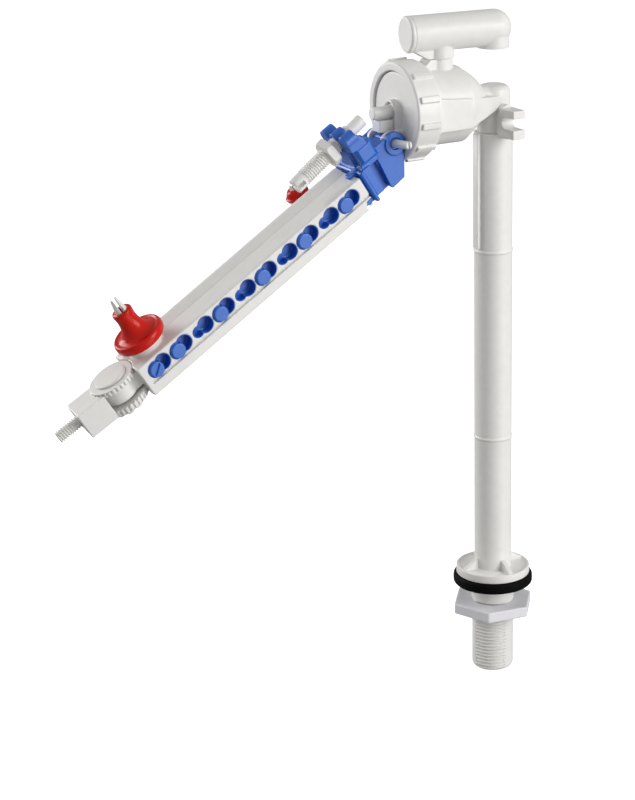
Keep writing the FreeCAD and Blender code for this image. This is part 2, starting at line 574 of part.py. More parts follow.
def arm_sleeve():
    body = box(SLEEVE_START, SLEEVE_END, -SLEEVE_HALF, SLEEVE_HALF, SLEEVE_BOTTOM, SLEEVE_TOP)
    long_edges = [e for e in body.Edges if e.BoundBox.XLength > 100]
    body = body.makeFillet(0.9, long_edges)
    ridge = Part.Face(Part.makePolygon([
        V(SLEEVE_START, RIDGE_FOOT, SLEEVE_TOP - 0.5),
        V(SLEEVE_START, RIDGE_FOOT, SLEEVE_TOP + 0.2),
        V(SLEEVE_START, RIDGE_CREST, SLEEVE_TOP + RIDGE_H),
        V(SLEEVE_START, -SLEEVE_HALF + 1.4, SLEEVE_TOP + 0.6),
        V(SLEEVE_START, -SLEEVE_HALF + 0.4, SLEEVE_TOP - 0.5),
        V(SLEEVE_START, RIDGE_FOOT, SLEEVE_TOP - 0.5)]))
    ridge = ridge.extrude(V(SLEEVE_END - 1.5 - SLEEVE_START, 0, 0))
    boss = rod(8.6, LOWER_PEG + V(0, 0, SLEEVE_TOP - 1), LOWER_PEG + V(0, 0, 3.4))
    lug = box(UPPER_PEG.x - 4.6, UPPER_PEG.x + 4.6, -23.0, -SLEEVE_HALF + 1,
              UPPER_PEG.z - 3.2, UPPER_PEG.z - 0.6)
    tongue = box(SLEEVE_END - 6, KNUCKLE_A, -6.0, 6.0, HUB_SPAN[0], HUB_SPAN[1])
    hub = rod(HUB_R, V(KNUCKLE_A, 0, HUB_SPAN[0]), V(KNUCKLE_A, 0, HUB_SPAN[1]))
    knuckle = V(KNUCKLE_A, 0, 0)
    sweep = DISC_R + 0.3
    upper_room = rod(sweep, knuckle + V(0, 0, HUB_SPAN[1]), knuckle + V(0, 0, 5))
    lower_room = rod(sweep, knuckle + V(0, 0, -25), knuckle + V(0, 0, HUB_SPAN[0]))
    shape = join([body, ridge, boss, lug]).cut(upper_room).cut(lower_room)
    shape = join([shape, tongue, hub])
    channel_top = SLEEVE_TOP - SLEEVE_WALL
    channel = box(SLEEVE_START - 1, BAR_END, -BAR_FACE, BAR_FACE, BAR_BOTTOM, channel_top)
    under = box(SLEEVE_START + 1.6, SLEEVE_END - 11, -SLEEVE_HALF + 1.8, SLEEVE_HALF - 1.8,
                SLEEVE_BOTTOM - 1, GROOVE_N - 1.2)
    groove = box(SLEEVE_START - 1, GROOVE_END, SLEEVE_HALF - 1.6, SLEEVE_HALF + 1,
                 GROOVE_N - GROOVE_W / 2, GROOVE_N + GROOVE_W / 2)
    notch = slab([(23.0, -11.9), (27.2, -12.4), (28.4, -15.4), (27.5, -18.0), (23.0, -18.0)],
                 SLEEVE_HALF - 2, SLEEVE_HALF + 1)
    tongue_slot = box(SLEEVE_START - 1, 27.0, 8.2, 10.7, -15.6, -12.1)
    for tool in (channel, under, groove, notch, tongue_slot):
        shape = shape.cut(tool)
    pocket_floor = SLEEVE_HALF - POCKET_DEPTH - 0.5
    for centre, studded in hole_positions():
        shape = shape.cut(keyhole(centre, studded, pocket_floor, SLEEVE_HALF + 1, RIM_T))
    shape = shape.cut(rod(PEG_R + RUN, LOWER_PEG + V(0, 0, -8), LOWER_PEG + V(0, 0, 5)))
    shape = shape.cut(rod(PEG_R - 0.8 + RUN, UPPER_PEG + V(0, 0, -10), UPPER_PEG + V(0, 0, 2)))
    return in_arm(shape.cut(rod(BOLT_R + RUN, knuckle + V(0, 0, -20), knuckle)))


def lever_bar():
    """Insert bar inside the sleeve: a keyhole pocket or a stud shows in each hole."""
    top = SLEEVE_TOP - SLEEVE_WALL
    body = box(23.0, BAR_END, -BAR_FACE, BAR_FACE, BAR_BOTTOM, top)
    parts = [body]
    for centre, studded in hole_positions():
        parts.append(keyhole(centre, studded, BAR_FACE - 1, SLEEVE_HALF - 0.05, RIM_T)
                     .common(box(0, 200, 0, 20, BAR_BOTTOM, top)))
    shape = join(parts)
    floor = SLEEVE_HALF - POCKET_DEPTH
    for centre, studded in hole_positions():
        shape = shape.cut(keyhole(centre, studded, floor, SLEEVE_HALF + 1))
    studs = [shape]
    for centre, studded in hole_positions():
        if studded:
            stud_axis = centre + STUD_SHIFT
            stud = rod(STUD_R, stud_axis + V(0, floor - 0.5, 0), stud_axis + V(0, STUD_OUT, 0))
            end = [e for e in stud.Edges if e.BoundBox.YMin > STUD_OUT - 0.01]
            studs.append(stud.makeChamfer(0.3, end))
    shape = join(studs)
    well = rod(PEG_R + 0.4, LOWER_PEG + V(0, 0, -20), LOWER_PEG)
    last = HOLE_FIRST + HOLE_PITCH * (HOLE_COUNT - 1) + STUD_SHIFT.x
    screw_slot = box(last - 3.0, last + 3.0, STUD_OUT - 0.7, STUD_OUT + 1, -0.45, 0.45)
    screw_slot.rotate(V(last, 0, 0), Y_AXIS, 38)
    screw_slot.translate(V(0, 0, HOLE_N + STUD_SHIFT.z))
    return in_arm(shape.cut(well).cut(screw_slot))


# ------------------------------------------------------------------ lock pegs
def split_peg(radius, low, shoulder, tip):
    """Peg with a head below and two pointed tines above."""
    stem = turned([(0, low), (radius, low), (radius, shoulder), (radius * 0.55, tip), (0, tip)])
    return stem.cut(box(-radius * 0.28, radius * 0.28, -9, 9, shoulder - 3, tip + 1))


def lower_peg():
    peg = split_peg(PEG_R, -7.5, 21.0, 27.8)
    peg.translate(LOWER_PEG)
    return in_arm(peg)


def lower_bell():
    bell = turned([(PEG_R, 3.4), (11.6, 3.4), (12.4, 4.2), (12.8, 5.6), (12.8, 7.0),
                   (12.4, 8.2), (11.7, 8.6), (11.0, 8.3), (10.3, 7.7), (9.2, 7.8), (7.4, 8.9),
                   (5.9, 11.0), (4.9, 13.8), (4.6, 16.4),
                   (4.9, 19.4), (5.0, 20.6), (4.6, 21.0), (PEG_R, 21.0)])
    bell.translate(LOWER_PEG)
    return in_arm(bell)


def upper_peg():
    peg = split_peg(PEG_R - 0.8, -7.0, 3.2, 6.0)
    head = z_rod(3.4, -8.2, -6.9)
    peg = join([peg, head])
    peg.translate(UPPER_PEG)
    return in_arm(peg)


def upper_bell():
    bell = turned([(PEG_R - 0.8, -0.6), (5.9, -0.6), (5.9, 0.5), (5.2, 1.0), (4.7, 2.0),
                   (3.9, 3.2), (2.9, 3.8), (PEG_R - 0.8, 3.8)])
    bell.translate(UPPER_PEG)
    return in_arm(bell)


# ------------------------------------------------------------------ knuckle and float block
def toothed_disc(span):
    """Disc whose rim is cut into upright teeth, open towards the hub."""
    low, high = span
    disc = z_rod(DISC_R, low, high)
    inner = (low + 0.5, high + 1) if low < HUB_SPAN[0] else (low - 1, high - 0.3)
    notches = []
    for k in range(TEETH):
        notch = box(DISC_R - 0.9, DISC_R + 1, -0.55, 0.55, inner[0], inner[1])
        notches.append(notch.rotated(V(0, 0, 0), Z_AXIS, 360.0 * (k + 0.5) / TEETH))
    return disc.cut(Part.makeCompound(notches))


def float_block():
    """Clevis of two toothed discs, a square block and the stud that a float screws onto."""
    low, high = BLOCK_SPAN
    block = box(BLOCK_START, BLOCK_END, -BLOCK_HALF, BLOCK_HALF, low, high)
    edges = [e for e in block.Edges if e.BoundBox.XMin > BLOCK_START + 0.1]
    block = block.makeFillet(0.5, edges)
    room = z_rod(DISC_R - 0.6, LOWER_DISC[1], UPPER_DISC[0])
    stud = rod(FLOAT_STUD_R, V(BLOCK_END - 1, 0, STUD_N), V(FLOAT_STUD_END, 0, STUD_N))
    tip = [e for e in stud.Edges if e.BoundBox.XMin > FLOAT_STUD_END - 0.01]
    upper = toothed_disc(UPPER_DISC)
    lower = toothed_disc(LOWER_DISC)
    shape = join([block, upper, lower]).cut(room)
    shape = join([shape, stud.makeChamfer(0.6, tip)])
    return in_knuckle(shape.cut(z_rod(BOLT_R, LOWER_DISC[0] - 1, UPPER_DISC[1] + 1)))


def knuckle_bolt():
    cap = z_rod(KNUCKLE_CAP_R, UPPER_DISC[1], UPPER_DISC[1] + 1.1)
    rim = [e for e in cap.Edges if e.BoundBox.ZMin > UPPER_DISC[1] + 1.0]
    foot_low = LOWER_DISC[0] - 1.7
    foot = [z_rod(7.3, foot_low, LOWER_DISC[0]), z_rod(3.4, foot_low - 0.6, LOWER_DISC[0])]
    for k in range(LOBES):
        angle = math.radians(LOBE_TURN + 360.0 * k / LOBES - KNUCKLE_TURN)
        foot.append(z_rod(1.8, foot_low, LOWER_DISC[0], 7.3 * math.cos(angle),
                          7.3 * math.sin(angle)))
    shank = z_rod(BOLT_R, LOWER_DISC[0] - 0.5, UPPER_DISC[1] + 0.5)
    return in_knuckle(join([cap.makeFillet(0.35, rim), shank] + foot))


PARTS = {
    "riser_tube": riser_tube,
    "cistern_washer": cistern_washer,
    "backnut": backnut,
    "inlet_filter": inlet_filter,
    "flow_restrictor": flow_restrictor,
    "riser_o_ring": riser_o_ring,
    "valve_body": valve_body,
    "seat_nozzle": seat_nozzle,
    "diaphragm": diaphragm,
    "front_cover": front_cover,
    "union_nut": union_nut,
    "plunger": plunger,
    "pivot_pin": pivot_pin,
    "hose_clip": hose_clip,
    "outlet_o_ring": outlet_o_ring,
    "outlet_arm": outlet_arm,
    "outlet_end_cap": outlet_end_cap,
    "lever_bracket": lever_bracket,
    "adjusting_screw": adjusting_screw,
    "lock_nut": lock_nut,
    "arm_sleeve": arm_sleeve,
    "lever_bar": lever_bar,
    "lower_peg": lower_peg,
    "lower_bell": lower_bell,
    "upper_peg": upper_peg,
    "upper_bell": upper_bell,
    "float_block": float_block,
    "knuckle_bolt": knuckle_bolt,
}

os.makedirs("parts", exist_ok=True)
for name, make in PARTS.items():
    make().exportStep("parts/" + name + ".step")
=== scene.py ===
import json
import math

import bmesh
import bpy
from mathutils import Matrix, Vector

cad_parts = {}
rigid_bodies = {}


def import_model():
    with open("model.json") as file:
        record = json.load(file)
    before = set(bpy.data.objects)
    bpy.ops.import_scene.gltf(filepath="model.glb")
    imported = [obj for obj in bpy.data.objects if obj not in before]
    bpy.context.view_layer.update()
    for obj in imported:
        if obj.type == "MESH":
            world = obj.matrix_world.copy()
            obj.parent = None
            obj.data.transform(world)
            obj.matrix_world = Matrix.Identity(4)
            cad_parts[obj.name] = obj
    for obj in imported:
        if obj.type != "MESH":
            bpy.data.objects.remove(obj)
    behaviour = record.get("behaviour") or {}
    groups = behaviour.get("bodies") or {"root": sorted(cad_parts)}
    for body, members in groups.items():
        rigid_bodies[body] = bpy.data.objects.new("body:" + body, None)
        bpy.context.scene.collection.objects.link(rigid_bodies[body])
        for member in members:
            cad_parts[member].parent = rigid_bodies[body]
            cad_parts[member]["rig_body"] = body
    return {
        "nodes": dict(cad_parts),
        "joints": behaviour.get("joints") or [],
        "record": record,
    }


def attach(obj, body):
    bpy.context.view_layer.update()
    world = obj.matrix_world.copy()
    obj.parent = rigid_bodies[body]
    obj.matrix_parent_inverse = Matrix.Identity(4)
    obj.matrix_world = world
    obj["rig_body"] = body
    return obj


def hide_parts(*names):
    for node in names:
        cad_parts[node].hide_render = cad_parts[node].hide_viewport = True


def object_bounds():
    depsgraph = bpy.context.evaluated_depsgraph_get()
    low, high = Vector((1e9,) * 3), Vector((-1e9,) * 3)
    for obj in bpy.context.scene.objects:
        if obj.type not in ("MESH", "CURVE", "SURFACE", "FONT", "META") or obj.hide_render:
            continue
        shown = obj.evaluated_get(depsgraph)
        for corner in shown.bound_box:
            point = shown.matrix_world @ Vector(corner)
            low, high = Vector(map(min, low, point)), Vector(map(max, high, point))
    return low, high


# Bottom-entry fill valve with a lever arm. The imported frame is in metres; pieces are built
# in millimetres in the local frame of the part that they belong to, and then placed.
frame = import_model()
CAD_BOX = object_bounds()
NODES = frame["nodes"]
RECORD = frame["record"]
JOINTS = {joint["name"]: joint for joint in frame["joints"]}
MOUNTS = {mount["name"]: mount for mount in RECORD["mounts"]}
SLOT_OF = {part["node"]: part["material_slot"] for part in RECORD["subparts"]}
MM = 0.001

# ------------------------------------------------------------------ camera
CAMERA_PLACE = Vector((-0.57023, -0.8825, 0.44707))  # metres, in the row frame
CAMERA_RIGHT = Vector((0.878001, -0.478087, -0.023398))
CAMERA_UP = Vector((0.170489, 0.266675, 0.948587))
CAMERA_LENS = 100.278
CAMERA_SENSOR = 36.0
CAMERA_NEAR, CAMERA_FAR = 0.05, 50.0

camera_data = bpy.data.cameras.new("camera")
camera_data.lens = CAMERA_LENS
camera_data.sensor_width = CAMERA_SENSOR
camera_data.sensor_fit = "AUTO"
camera_data.clip_start = CAMERA_NEAR
camera_data.clip_end = CAMERA_FAR
camera = bpy.data.objects.new("camera", camera_data)
turn = Matrix((CAMERA_RIGHT, CAMERA_UP, CAMERA_RIGHT.cross(CAMERA_UP))).transposed()
camera.matrix_world = Matrix.Translation(CAMERA_PLACE) @ turn.to_4x4()
bpy.context.scene.collection.objects.link(camera)
bpy.context.scene.camera = camera


# ------------------------------------------------------------------ local frames
def local_frame(origin, x_dir, z_dir):
    """Matrix from local millimetres to the row frame in metres."""
    axes = Matrix((x_dir, z_dir.cross(x_dir), z_dir)).transposed().to_4x4()
    return Matrix.Translation(origin) @ axes @ Matrix.Scale(MM, 4)


X_DIR, Z_DIR = Vector((1, 0, 0)), Vector((0, 0, 1))
WORLD = local_frame(Vector((0, 0, 0)), X_DIR, Z_DIR)
PIVOT = Vector(JOINTS["arm_pivot"]["pos_m"])
KNUCKLE_AT = Vector(JOINTS["knuckle_swivel"]["pos_m"])
ARM_UP = Vector(JOINTS["knuckle_swivel"]["axis"]).normalized()
ARM_OUT = (KNUCKLE_AT - PIVOT).normalized()
ARM = local_frame(PIVOT, ARM_OUT, ARM_UP)
FLOAT_OUT = Vector(MOUNTS["float_stud"]["axis"]).normalized()
KNUCKLE = local_frame(KNUCKLE_AT, FLOAT_OUT, ARM_UP)
SCREW_OUT = Vector(JOINTS["lock_nut_spin"]["axis"]).normalized()
SCREW_SIDE = Vector((0, -1, 0))
SCREW = local_frame(Vector(JOINTS["lock_nut_spin"]["pos_m"]), SCREW_SIDE, SCREW_OUT)
OUTLET_TURN = math.radians(-7)
OUTLET = local_frame(Vector(JOINTS["outlet_swivel"]["pos_m"]) * Vector((1, 1, 0)),
                     Vector((math.cos(OUTLET_TURN), math.sin(OUTLET_TURN), 0)), Z_DIR)


# ------------------------------------------------------------------ mesh tools
WELD = 0.002
ON_AXIS = 1e-6


def cad_mesh(node, local):
    """A welded copy of a CAD node in local millimetres."""
    bm = bmesh.new()
    bm.from_mesh(NODES[node].data)
    bm.transform(local.inverted())
    bmesh.ops.remove_doubles(bm, verts=bm.verts, dist=WELD)
    return bm


def evaluated(bm, *modifiers):
    """The bmesh after a stack of (type, settings) modifiers."""
    mesh = bpy.data.meshes.new("work")
    bm.to_mesh(mesh)
    bm.free()
    work = bpy.data.objects.new("work", mesh)
    bpy.context.scene.collection.objects.link(work)
    for kind, settings in modifiers:
        modifier = work.modifiers.new(kind, kind)
        for key, value in settings.items():
            setattr(modifier, key, value)
    result = bmesh.new()
    result.from_object(work, bpy.context.evaluated_depsgraph_get())
    bpy.data.objects.remove(work)
    bpy.data.meshes.remove(mesh)
    return result


def moulded(bm, voxel, passes=3):
    """One closed skin over everything in the bmesh, with edges softened as in moulding."""
    return evaluated(bm, ("REMESH", {"mode": "VOXEL", "voxel_size": voxel}),
                     ("SMOOTH", {"factor": 0.5, "iterations": passes}))


def merged(*parts):
    """Several bmeshes as shells of one."""
    bm = parts[0]
    for part in parts[1:]:
        mesh = bpy.data.meshes.new("work")
        part.to_mesh(mesh)
        part.free()
        bm.from_mesh(mesh)
        bpy.data.meshes.remove(mesh)
    return bm


def cut(bm, tool):
    """The bmesh with another one taken away."""
    mesh = bpy.data.meshes.new("tool")
    tool.to_mesh(mesh)
    tool.free()
    cutter = bpy.data.objects.new("tool", mesh)
    bpy.context.scene.collection.objects.link(cutter)
    result = evaluated(bm, ("BOOLEAN", {"operation": "DIFFERENCE", "object": cutter,
                                        "solver": "EXACT"}))
    bpy.data.objects.remove(cutter)
    bpy.data.meshes.remove(mesh)
    return result


def trimmed(bm, point, normal):
    """The part of a bmesh behind a plane, closed at the cut."""
    everything = bm.verts[:] + bm.edges[:] + bm.faces[:]
    done = bmesh.ops.bisect_plane(bm, geom=everything, dist=1e-5, plane_co=point,
                                  plane_no=normal, clear_outer=True)
    rim = [e for e in done["geom_cut"] if isinstance(e, bmesh.types.BMEdge)]
    bmesh.ops.triangle_fill(bm, edges=rim, use_beauty=True, use_dissolve=False)
    return bm


def rounded(points, radius, steps=4):
    """An open outline with each inner corner turned into a curve."""
    result = [Vector(points[0])]
    for before, corner, after in zip(points, points[1:], points[2:]):
        corner = Vector(corner)
        back, ahead = Vector(before) - corner, Vector(after) - corner
        reach = min(radius, back.length * 0.45, ahead.length * 0.45)
        start = corner + back.normalized() * reach
        end = corner + ahead.normalized() * reach
        for k in range(steps + 1):
            t = k / steps
            result.append(start.lerp(corner, t).lerp(corner.lerp(end, t), t))
    return result + [Vector(points[-1])]


def curved(points, steps=5):
    """A smooth line through an outline's points."""
    ends = [points[0], *points, points[-1]]
    result = []
    for a, b, c, d in zip(ends, ends[1:], ends[2:], ends[3:]):
        a, b, c, d = Vector(a), Vector(b), Vector(c), Vector(d)
        for k in range(steps):
            t = k / steps
            result.append(b + (c - a) * t / 2 + (a - b * 2.5 + c * 2 - d / 2) * t * t
                          + (b * 1.5 - a / 2 - c * 1.5 + d / 2) * t ** 3)
    return result + [Vector(points[-1])]


def on_circle(bm, radius, angle, height):
    """A new vertex at a radius and an angle about local Z."""
    return bm.verts.new((radius * math.cos(angle), radius * math.sin(angle), height))


def level_ring(bm, radius, height, segments):
    """New vertices around local Z, or one shared vertex where the radius is zero."""
    if radius < ON_AXIS:
        return [bm.verts.new((0, 0, height))] * segments
    return [on_circle(bm, radius, 2 * math.pi * k / segments, height) for k in range(segments)]


def skinned(bm, rings):
    """Faces between each ring and the next, facing out."""
    for lower, upper in zip(rings, rings[1:]):
        if lower[0] is lower[1] and upper[0] is upper[1]:
            continue
        for k in range(len(lower)):
            corners = [lower[k - 1], lower[k], upper[k], upper[k - 1]]
            bm.faces.new(list(dict.fromkeys(corners)))
    bmesh.ops.recalc_face_normals(bm, faces=bm.faces)
    return bm


def lathe(profile, segments=96):
    """Closed solid of revolution about local Z from an outline of (radius, height)."""
    bm = bmesh.new()
    rings = [level_ring(bm, radius, height, segments) for radius, height in profile]
    if profile[0][0] > ON_AXIS:
        rings.append(rings[0])
    return skinned(bm, rings)


ROWS_PER_TURN = 12
FLANK_SLOPE, FLANK_START = 3.4, 0.35
SMOOTH_FROM, SMOOTH_FADE = 0.76, 0.14


def threaded_rod(crest, root, pitch, low, high, bore=0.0, segments=72, smooth_side=None,
                 nose=None):
    """Rod with a helical thread and rounded ends, along local Z.

    smooth_side is the direction, in radians, of one of two opposite sides without thread.
    nose is how far the low end's rounding reaches inward and along the rod.
    """
    rows = int((high - low) / pitch * ROWS_PER_TURN)
    inset, length = nose or ((crest - root) * 1.1,) * 2
    bm = bmesh.new()
    rings = []
    for row in range(rows + 1):
        z = low + (high - low) * row / rows
        left = 1 - min(1.0, (z - low) / length, (high - z) / (crest - root))
        end_radius = crest - inset * (1 - math.sqrt(max(0.0, 1 - left * left)))
        ring = []
        for k in range(segments):
            angle = 2 * math.pi * k / segments
            phase = (z / pitch - k / segments) % 1.0
            flank = min(1.0, max(0.0, abs(phase - 0.5) * FLANK_SLOPE - FLANK_START))
            depth = (crest - root) * flank * flank * (3 - 2 * flank)
            if smooth_side is not None:
                facing = abs(math.cos(angle - smooth_side))
                depth *= min(1.0, max(0.0, (SMOOTH_FROM - facing) / SMOOTH_FADE))
            ring.append(on_circle(bm, min(crest - depth, end_radius), angle, z))
        rings.append(ring)
    rings += [level_ring(bm, bore, high, segments), level_ring(bm, bore, low, segments), rings[0]]
    return skinned(bm, rings)


def slab(points, y0, y1, edge=0.3):
    """Plate from (x, z) points with softened edges."""
    bm = bmesh.new()
    face = bm.faces.new([bm.verts.new((x, y0, z)) for x, z in points])
    grown = bmesh.ops.extrude_face_region(bm, geom=[face])
    moved = [v for v in grown["geom"] if isinstance(v, bmesh.types.BMVert)]
    bmesh.ops.translate(bm, verts=moved, vec=(0, y1 - y0, 0))
    bmesh.ops.recalc_face_normals(bm, faces=bm.faces)
    bmesh.ops.bevel(bm, geom=bm.edges[:], offset=edge, segments=3, profile=0.5,
                    affect="EDGES", clamp_overlap=True)
    return bm


def turned(bm, matrix):
    """The bmesh after a move or a turn."""
    bm.transform(matrix)
    return bm


def piece(node, bm, local, sharp=None):
    """Places a bmesh as the piece that stands for a CAD node."""
    mesh = bpy.data.meshes.new(node + "_look")
    bm.transform(local)
    bm.to_mesh(mesh)
    bm.free()
    mesh.polygons.foreach_set("use_smooth", [True] * len(mesh.polygons))
    if sharp:
        mesh.set_sharp_from_angle(angle=math.radians(sharp))
    obj = bpy.data.objects.new(node + "_look", mesh)
    bpy.context.scene.collection.objects.link(obj)
    obj.data.materials.append(MATERIALS[SLOT_OF[node]])
    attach(obj, NODES[node]["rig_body"])
    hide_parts(node)


def moulded_piece(node, local, voxel, passes=3):
    """The piece for a CAD node with the node's own shape and softened edges."""
    piece(node, moulded(cad_mesh(node, local), voxel, passes), local)


# ------------------------------------------------------------------ materials
def shader(name, roughness, **fixed):
    """A material whose surface nodes are filled in by the caller."""
    material = bpy.data.materials.new(name)
    material.use_nodes = True
    tree = material.node_tree
    principled = tree.nodes["Principled BSDF"]
    principled.inputs["Roughness"].default_value = roughness
    for socket, value in fixed.items():
        principled.inputs[socket.replace("_", " ")].default_value = value
    return material, tree, principled


DRIFT_WAVES, FLOW_WAVES, SHEEN_WAVES, GRAIN_WAVES = 38.0, 260.0, 420.0, 900.0
# Pointiness range over which convex edges turn to the painted highlight colour.
EDGE_HIGHLIGHT_FROM, EDGE_HIGHLIGHT_FULL = 0.56, 0.72
GRAIN_STRENGTH = 0.35


def noise(tree, scale, detail=3.0, roughness=0.55):
    """Noise over the piece, scale in waves per metre."""
    place = tree.nodes.get("Texture Coordinate") or tree.nodes.new("ShaderNodeTexCoord")
    node = tree.nodes.new("ShaderNodeTexNoise")
    node.inputs["Scale"].default_value = scale
    node.inputs["Detail"].default_value = detail
    node.inputs["Roughness"].default_value = roughness
    tree.links.new(place.outputs["Object"], node.inputs["Vector"])
    return node.outputs["Fac"]


def ramp(tree, source, *stops):
    """Colour ramp over (position, colour) stops."""
    node = tree.nodes.new("ShaderNodeValToRGB")
    elements = node.color_ramp.elements
    while len(elements) < len(stops):
        elements.new(0.5)
    for element, (position, colour) in zip(elements, stops):
        element.position = position
        element.color = (*colour, 1.0)
    tree.links.new(source, node.inputs["Fac"])
    return node.outputs["Color"]


def spread(tree, source, low, high):
    """A 0..1 source taken to a range."""
    node = tree.nodes.new("ShaderNodeMapRange")
    node.inputs["From Min"].default_value = 0.3
    node.inputs["From Max"].default_value = 0.7
    node.inputs["To Min"].default_value = low
    node.inputs["To Max"].default_value = high
    tree.links.new(source, node.inputs["Value"])
    return node.outputs["Result"]


def mixed(tree, kind, factor, a, b):
    """Mixes two colour sockets; factor is a socket or a number."""
    node = tree.nodes.new("ShaderNodeMix")
    node.data_type = "RGBA"
    node.blend_type = kind
    if isinstance(factor, float):
        node.inputs["Factor"].default_value = factor
    else:
        tree.links.new(factor, node.inputs["Factor"])
    tree.links.new(a, node.inputs["A"])
    tree.links.new(b, node.inputs["B"])
    return node.outputs["Result"]


def plastic(name, base, tint, edge, roughness, grain=0.02, **fixed):
    """Injection-moulded skin: faint colour drift, a painted highlight on convex edges, varying
    sheen and fine grain.

    grain is the grain's depth in millimetres; edge is the colour of the painted edge highlight.
    """
    material, tree, principled = shader(name, roughness, **fixed)
    drift = ramp(tree, noise(tree, DRIFT_WAVES), (0.32, tint), (0.68, base))
    flow = ramp(tree, noise(tree, FLOW_WAVES, 5.0), (0.3, (0.955,) * 3), (0.75, (1.0,) * 3))
    body = mixed(tree, "MULTIPLY", 1.0, drift, flow)
    # Convex edges are painted paler by pointiness: a painted highlight along the edges.
    shape = tree.nodes.new("ShaderNodeNewGeometry").outputs["Pointiness"]
    edge_highlight_mask = tree.nodes.new("ShaderNodeMapRange")
    edge_highlight_mask.inputs["From Min"].default_value = EDGE_HIGHLIGHT_FROM
    edge_highlight_mask.inputs["From Max"].default_value = EDGE_HIGHLIGHT_FULL
    tree.links.new(shape, edge_highlight_mask.inputs["Value"])
    edge_highlight_colour = tree.nodes.new("ShaderNodeRGB")
    edge_highlight_colour.outputs[0].default_value = (*edge, 1.0)
    colour = mixed(tree, "MIX", edge_highlight_mask.outputs["Result"], body, edge_highlight_colour.outputs[0])
    tree.links.new(colour, principled.inputs["Base Color"])
    sheen = spread(tree, noise(tree, SHEEN_WAVES, 4.0), roughness - 0.06, roughness + 0.08)
    tree.links.new(sheen, principled.inputs["Roughness"])
    bump = tree.nodes.new("ShaderNodeBump")
    bump.inputs["Strength"].default_value = GRAIN_STRENGTH
    bump.inputs["Distance"].default_value = grain * MM
    tree.links.new(noise(tree, GRAIN_WAVES, 4.0), bump.inputs["Height"])
    tree.links.new(bump.outputs["Normal"], principled.inputs["Normal"])
    return material


# The third colour of each finish is its painted edge highlight.
MATERIALS = {
    "white_plastic": plastic("white_plastic", (0.81, 0.80, 0.775), (0.785, 0.775, 0.75),
                             (0.86, 0.855, 0.84), 0.38, Specular_IOR_Level=0.5),
    "grey_plastic": plastic("grey_plastic", (0.80, 0.79, 0.825), (0.765, 0.755, 0.79),
                            (0.85, 0.845, 0.87), 0.46, Specular_IOR_Level=0.45),
    "blue_plastic": plastic("blue_plastic", (0.006, 0.125, 0.58), (0.005, 0.11, 0.52),
                            (0.03, 0.20, 0.76), 0.36, 0.01, Specular_IOR_Level=0.7,
                            Coat_Weight=0.2, Coat_Roughness=0.3),
    "red_plastic": plastic("red_plastic", (0.62, 0.014, 0.007), (0.52, 0.009, 0.005),
                           (0.62, 0.03, 0.015), 0.17, Specular_IOR_Level=0.2),
    "black_rubber": plastic("black_rubber", (0.003, 0.003, 0.0033), (0.002, 0.002, 0.0023),
                            (0.008, 0.008, 0.009), 0.6, 0.05, Specular_IOR_Level=0.06),
}
for node, obj in NODES.items():
    obj.data.materials.clear()
    obj.data.materials.append(MATERIALS[SLOT_OF[node]])

SHELL_LAP = 0.6  # how far a thread's shell runs into the shell that it grows from

# ------------------------------------------------------------------ riser and its fixings
COLLAR_R, FLANGE_R, RISER_R, BORE_R = 10.7, 18.45, 9.3, 6.8
COLLAR_BOTTOM, WASHER_TOP, FLANGE_TOP = -9.2, 5.3, 9.4
TAIL_END, TAIL_R, TAIL_ROOT, TAIL_PITCH = -46.2, 10.45, 9.35, 1.814
TAIL_SMOOTH = math.radians(140.6)
TAIL_NOSE = (1.8, 2.4)
RISER_TOP = 231.8
BEADS = (78.3, 173.6)
BEAD_RISE, BEAD_FOOT, BEAD_CREST = 0.42, 0.9, 0.3
RIM_WIDTH, RIM_RISE = 1.3, 0.6
GUSSETS, GUSSET_IN, GUSSET_OUT, GUSSET_TOP, GUSSET_HALF = 4, 7.9, 17.0, 14.1, 1.2
RIB_X, RIB_Y, RIB_Z = (-10.6, -8.3), (-2.5, 2.0), (175.5, 231.4)

tube = [(BORE_R, COLLAR_BOTTOM), (COLLAR_R, COLLAR_BOTTOM), (COLLAR_R, WASHER_TOP),
        (FLANGE_R, WASHER_TOP), (FLANGE_R, FLANGE_TOP), (FLANGE_R - RIM_WIDTH, FLANGE_TOP),
        (FLANGE_R - RIM_WIDTH - 0.5, FLANGE_TOP - RIM_RISE), (RISER_R, FLANGE_TOP - RIM_RISE)]
for height in BEADS:
    tube += [(RISER_R, height - BEAD_FOOT), (RISER_R + BEAD_RISE, height - BEAD_CREST),
             (RISER_R + BEAD_RISE, height + BEAD_CREST), (RISER_R, height + BEAD_FOOT)]
tube += [(RISER_R, RISER_TOP), (BORE_R, RISER_TOP)]
riser_parts = [lathe(rounded(tube, 0.5), 128),
               threaded_rod(TAIL_R, TAIL_ROOT, TAIL_PITCH, TAIL_END, COLLAR_BOTTOM + SHELL_LAP,
                            bore=BORE_R, segments=120, smooth_side=TAIL_SMOOTH,
                            nose=TAIL_NOSE)]
for k in range(GUSSETS):
    gusset = slab([(GUSSET_IN, FLANGE_TOP - 1.1), (GUSSET_OUT, FLANGE_TOP - 1.1),
                   (GUSSET_OUT, FLANGE_TOP + 0.3), (9.5, GUSSET_TOP), (GUSSET_IN, GUSSET_TOP)],
                  -GUSSET_HALF, GUSSET_HALF, 0.4)
    riser_parts.append(turned(gusset, Matrix.Rotation(2 * math.pi / GUSSETS * k, 4, "Z")))
riser_parts.append(slab([(RIB_X[0], RIB_Z[0]), (RIB_X[1], RIB_Z[0]), (RIB_X[1], RIB_Z[1]),
                         (RIB_X[0], RIB_Z[1])], *RIB_Y, 0.35))
piece("riser_tube", merged(*riser_parts), WORLD, sharp=50)

